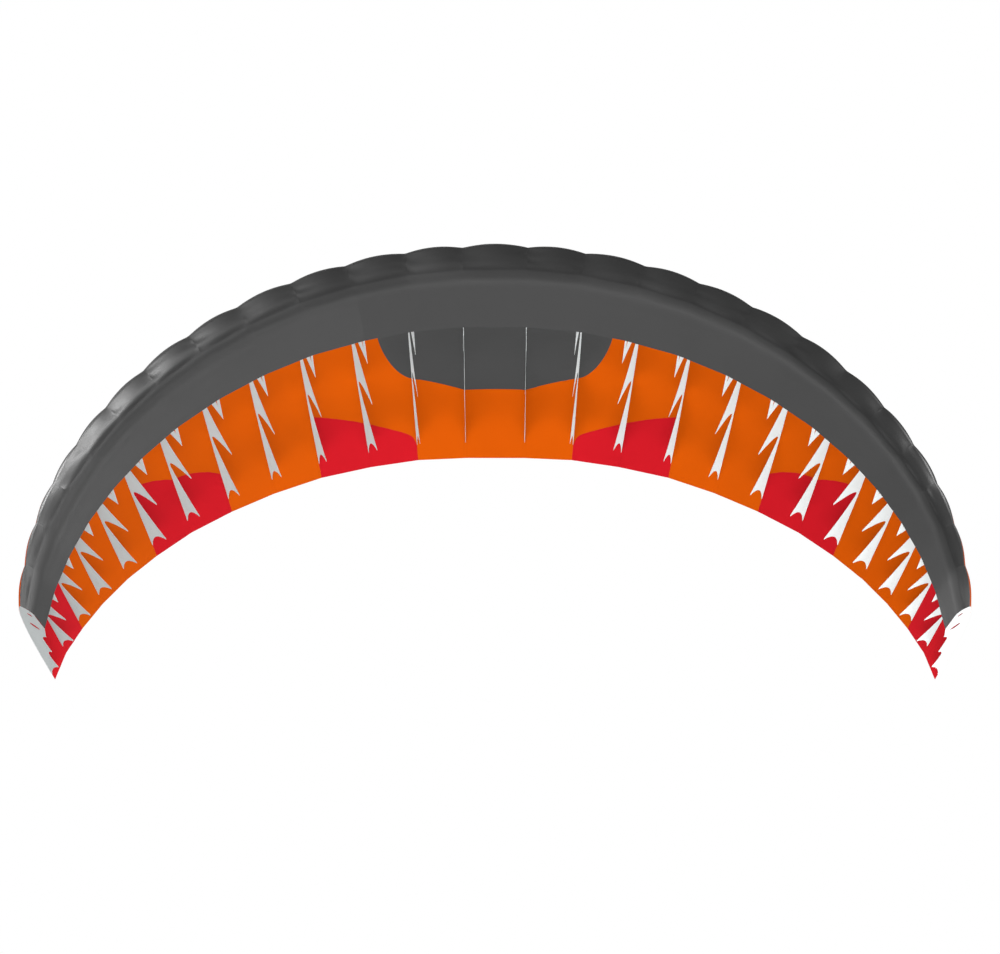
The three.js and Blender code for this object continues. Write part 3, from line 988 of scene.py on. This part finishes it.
# Operators


class WING_OT_ribs(bpy.types.Operator):
    """Cut the white ribs with their teeth and openings"""

    bl_idname = "wing.ribs"
    bl_label = "Make Ribs"

    def execute(self, context):
        for station in RIBS:
            rib_object(station, context.scene.wing_cloth)
        return {"FINISHED"}


class WING_OT_upper_cloth(bpy.types.Operator):
    """Cut the upper cloth, a strip for each cell"""

    bl_idname = "wing.upper_cloth"
    bl_label = "Make Upper Cloth"

    def execute(self, context):
        cloth = context.scene.wing_cloth
        for a, b in zip(RIBS, RIBS[1:]):
            inner = a if a.number < b.number else b
            node = f"skin_{inner.name}" if a.side == b.side else "skin_centre"
            finish, slot = "orange", "orange_cloth"
            if inner.number >= FIRST_RED_CELL:
                finish, slot = "tip", "red_cloth"
            elif inner.number == PATCH_CORNER_CELL:
                finish = f"corner_{inner.name[0]}"
            cloth_object(node, [self.cell_grid(a, b, cloth)], finish, slot, cloth)
        return {"FINISHED"}

    @staticmethod
    def cell_grid(a, b, cloth):
        """The cell's cloth from the nose or the grey patch back to a red insert or the trailing edge."""
        pair = (a, b)
        has_patch = all(r.row.patch is not None for r in pair)
        has_insert = all(r.row.insert is not None for r in pair)
        fronts = [r.row.patch if has_patch else r.row.seam for r in pair]
        rears = [r.row.insert if has_insert else 1.0 for r in pair]
        lengths = [(rear - front) * r.row.chord for front, rear, r in zip(fronts, rears, pair)]
        across = cell_columns(a, b, cloth)
        front = blend(*np.sqrt(fronts), across) ** 2
        rear = blend(*rears, across)
        if has_insert:
            rear = rear + insert_bow(a, b, across)
        rear = np.minimum(rear + SEAM_LAP, 1)
        return strip_grid(a, b, across, front, rear, row_count(max(lengths), cloth), cloth)


class WING_OT_inserts(bpy.types.Operator):
    """Cut the red inserts at the trailing edge"""

    bl_idname = "wing.inserts"
    bl_label = "Make Red Inserts"

    def execute(self, context):
        cloth = context.scene.wing_cloth
        for letter in ("L", "R"):
            for name, (first, last) in INSERT_RIBS.items():
                run = [r for r in RIBS if r.name[0] == letter and first <= r.number <= last]
                rows = row_count(max((1 - r.row.insert) * r.row.chord for r in run), cloth)
                grids = []
                for a, b in zip(run, run[1:]):
                    across = cell_columns(a, b, cloth)
                    front = blend(a.row.insert, b.row.insert, across) + insert_bow(a, b, across)
                    grids.append(strip_grid(a, b, across, front, 1.0, rows, cloth))
                cloth_object(f"insert_{letter}_{name}", grids, "red", "red_cloth", cloth)
        return {"FINISHED"}


class WING_OT_patch(bpy.types.Operator):
    """Cut the grey patch in the middle of the upper cloth"""

    bl_idname = "wing.patch"
    bl_label = "Make Grey Patch"

    def execute(self, context):
        cloth = context.scene.wing_cloth
        run = [r for r in RIBS if r.row.patch is not None]
        longest = max(r.row.patch for r in run) - NOSE_SEAM
        rows = row_count(longest * RIB_ROWS[0].chord, cloth)
        grids = []
        for a, b in zip(run, run[1:]):
            across = cell_columns(a, b, cloth)
            rear = blend(a.row.patch, b.row.patch, across) + SEAM_LAP
            grids.append(strip_grid(a, b, across, NOSE_SEAM, rear, rows, cloth))
        cloth_object("patch_centre", grids, "grey", "grey_cloth", cloth, rear_hem=False)
        return {"FINISHED"}


class WING_OT_nose(bpy.types.Operator):
    """Cut the grey nose and lower cloth"""

    bl_idname = "wing.nose"
    bl_label = "Make Nose"

    def execute(self, context):
        cloth = context.scene.wing_cloth
        runs = {
            "nose_L": LEFT[NOSE_CENTRE_RIB - 1:][::-1],
            "nose_centre": [r for r in RIBS if r.number <= NOSE_CENTRE_RIB],
            "nose_R": RIGHT[NOSE_CENTRE_RIB - 1:],
        }
        cut = {node: [nose_grid(a, b, cloth) for a, b in zip(run, run[1:])] for node, run in runs.items()}
        cells = [grid for grids in cut.values() for grid in grids]
        for before, after, station in zip(cells, cells[1:], RIBS[1:]):
            ease_seam(before, after, station)
        for node, grids in cut.items():
            cloth_object(node, grids, "nose", "grey_cloth", cloth, rib_seams=False)
        return {"FINISHED"}


class WING_OT_stage(bpy.types.Operator):
    """Set the pale floor, the soft lights and the camera"""

    bl_idname = "wing.stage"
    bl_label = "Set Stage"

    def execute(self, context):
        scene, studio = context.scene, context.scene.wing_studio
        self.set_floor(studio)
        self.set_world(scene, studio)
        pieces = [o for o in scene.objects if o.name.endswith("_cloth")]
        groups = {None: None}
        for name, starts in LIT_PIECES.items():
            groups[name] = bpy.data.collections.new(name)
            for piece in pieces:
                if piece.name.startswith(starts):
                    groups[name].objects.link(piece)
        for name, lamp in LAMPS.items():
            power = getattr(studio, f"{name}_power")
            self.set_light(f"{name}_light", lamp, power, groups[lamp.lit])
        self.set_camera(scene, studio)
        scene.view_settings.view_transform = "Standard"
        return {"FINISHED"}

    @staticmethod
    def set_floor(studio):
        """A pale floor far below, which also glows, for the camera alone."""
        half = FLOOR_HALF_WIDTH
        mesh = bpy.data.meshes.new("floor")
        corners = [(-half, -half, 0), (half, -half, 0), (half, half, 0), (-half, half, 0)]
        mesh.from_pydata(corners, [], [(0, 1, 2, 3)])
        floor = add_object("floor", mesh)
        floor.location.z = studio.floor_height
        material = bpy.data.materials.new("pale_floor")
        material.use_nodes = True
        shader = material.node_tree.nodes["Principled BSDF"]
        shader.inputs["Base Color"].default_value = (0.85, 0.85, 0.85, 1)
        shader.inputs["Roughness"].default_value = 0.9
        shader.inputs["Emission Color"].default_value = (0.8, 0.8, 0.8, 1)
        seen = add_node(material.node_tree, "LightPath", {}).outputs["Is Camera Ray"]
        material.node_tree.links.new(seen, shader.inputs["Emission Strength"])
        mesh.materials.append(material)

    @staticmethod
    def set_world(scene, studio):
        """A white backdrop that is much dimmer as a source of light."""
        world = bpy.data.worlds.new("studio")
        scene.world = world
        world.use_nodes = True
        tree = world.node_tree
        inputs = (
            add_node(tree, "LightPath", {}).outputs["Is Camera Ray"],
            add_node(tree, "Background", {"Color": WHITE, "Strength": studio.fill}).outputs[0],
            add_node(tree, "Background", {"Color": WHITE, "Strength": 1.0}).outputs[0],
        )
        mix = add_node(tree, "MixShader", dict(enumerate(inputs)))
        tree.links.new(mix.outputs[0], tree.nodes["World Output"].inputs["Surface"])

    @staticmethod
    def set_light(name, lamp, power, lit):
        """A soft panel that does not show itself, for all pieces or for the ones in a collection."""
        light = bpy.data.lights.new(name, "AREA")
        light.shape = "RECTANGLE"
        light.size, light.size_y = lamp.size
        light.energy = power
        light.use_shadow = False
        panel = add_object(name, light)
        panel.visible_camera = False
        panel.location = lamp.place
        panel.rotation_mode = "QUATERNION"
        panel.rotation_quaternion = (Vector(lamp.aim) - Vector(lamp.place)).to_track_quat("-Z", "Y")
        if lit is not None:
            panel.light_linking.receiver_collection = lit

    @staticmethod
    def set_camera(scene, studio):
        """The photograph's view of the wing, from ahead and below."""
        camera = add_object("camera", bpy.data.cameras.new("camera"))
        camera.location = studio.camera_place
        camera.rotation_euler = (math.pi / 2 + studio.camera_rise, 0, 0)
        camera.data.lens = studio.lens
        camera.data.shift_x = studio.shift
        camera.data.clip_end = 200
        scene.camera = camera


class WING_PT_panel(bpy.types.Panel):
    """Parawing tools in the sidebar"""

    bl_label = "Parawing"
    bl_idname = "WING_PT_panel"
    bl_space_type = "VIEW_3D"
    bl_region_type = "UI"
    bl_category = "Parawing"

    def draw(self, context):
        layout = self.layout
        for group in SETTINGS:
            settings, box = getattr(context.scene, group), layout.box()
            for name in settings.__annotations__:
                box.prop(settings, name)
        for operator in OPERATORS:
            layout.operator(operator.bl_idname)


SETTINGS = {"wing_cloth": ClothSettings, "wing_colours": ColourSettings, "wing_studio": StudioSettings}
OPERATORS = (WING_OT_ribs, WING_OT_upper_cloth, WING_OT_inserts, WING_OT_patch, WING_OT_nose, WING_OT_stage)


def register():
    for cls in (*SETTINGS.values(), *OPERATORS, WING_PT_panel):
        bpy.utils.register_class(cls)
    for name, cls in SETTINGS.items():
        setattr(bpy.types.Scene, name, PointerProperty(type=cls))


def unregister():
    for name in SETTINGS:
        delattr(bpy.types.Scene, name)
    for cls in (WING_PT_panel, *OPERATORS[::-1], *SETTINGS.values()):
        bpy.utils.unregister_class(cls)


def main():
    register()
    bpy.ops.wing.ribs()
    bpy.ops.wing.upper_cloth()
    bpy.ops.wing.inserts()
    bpy.ops.wing.patch()
    bpy.ops.wing.nose()
    bpy.ops.wing.stage()


if __name__ == "__main__":
    main()
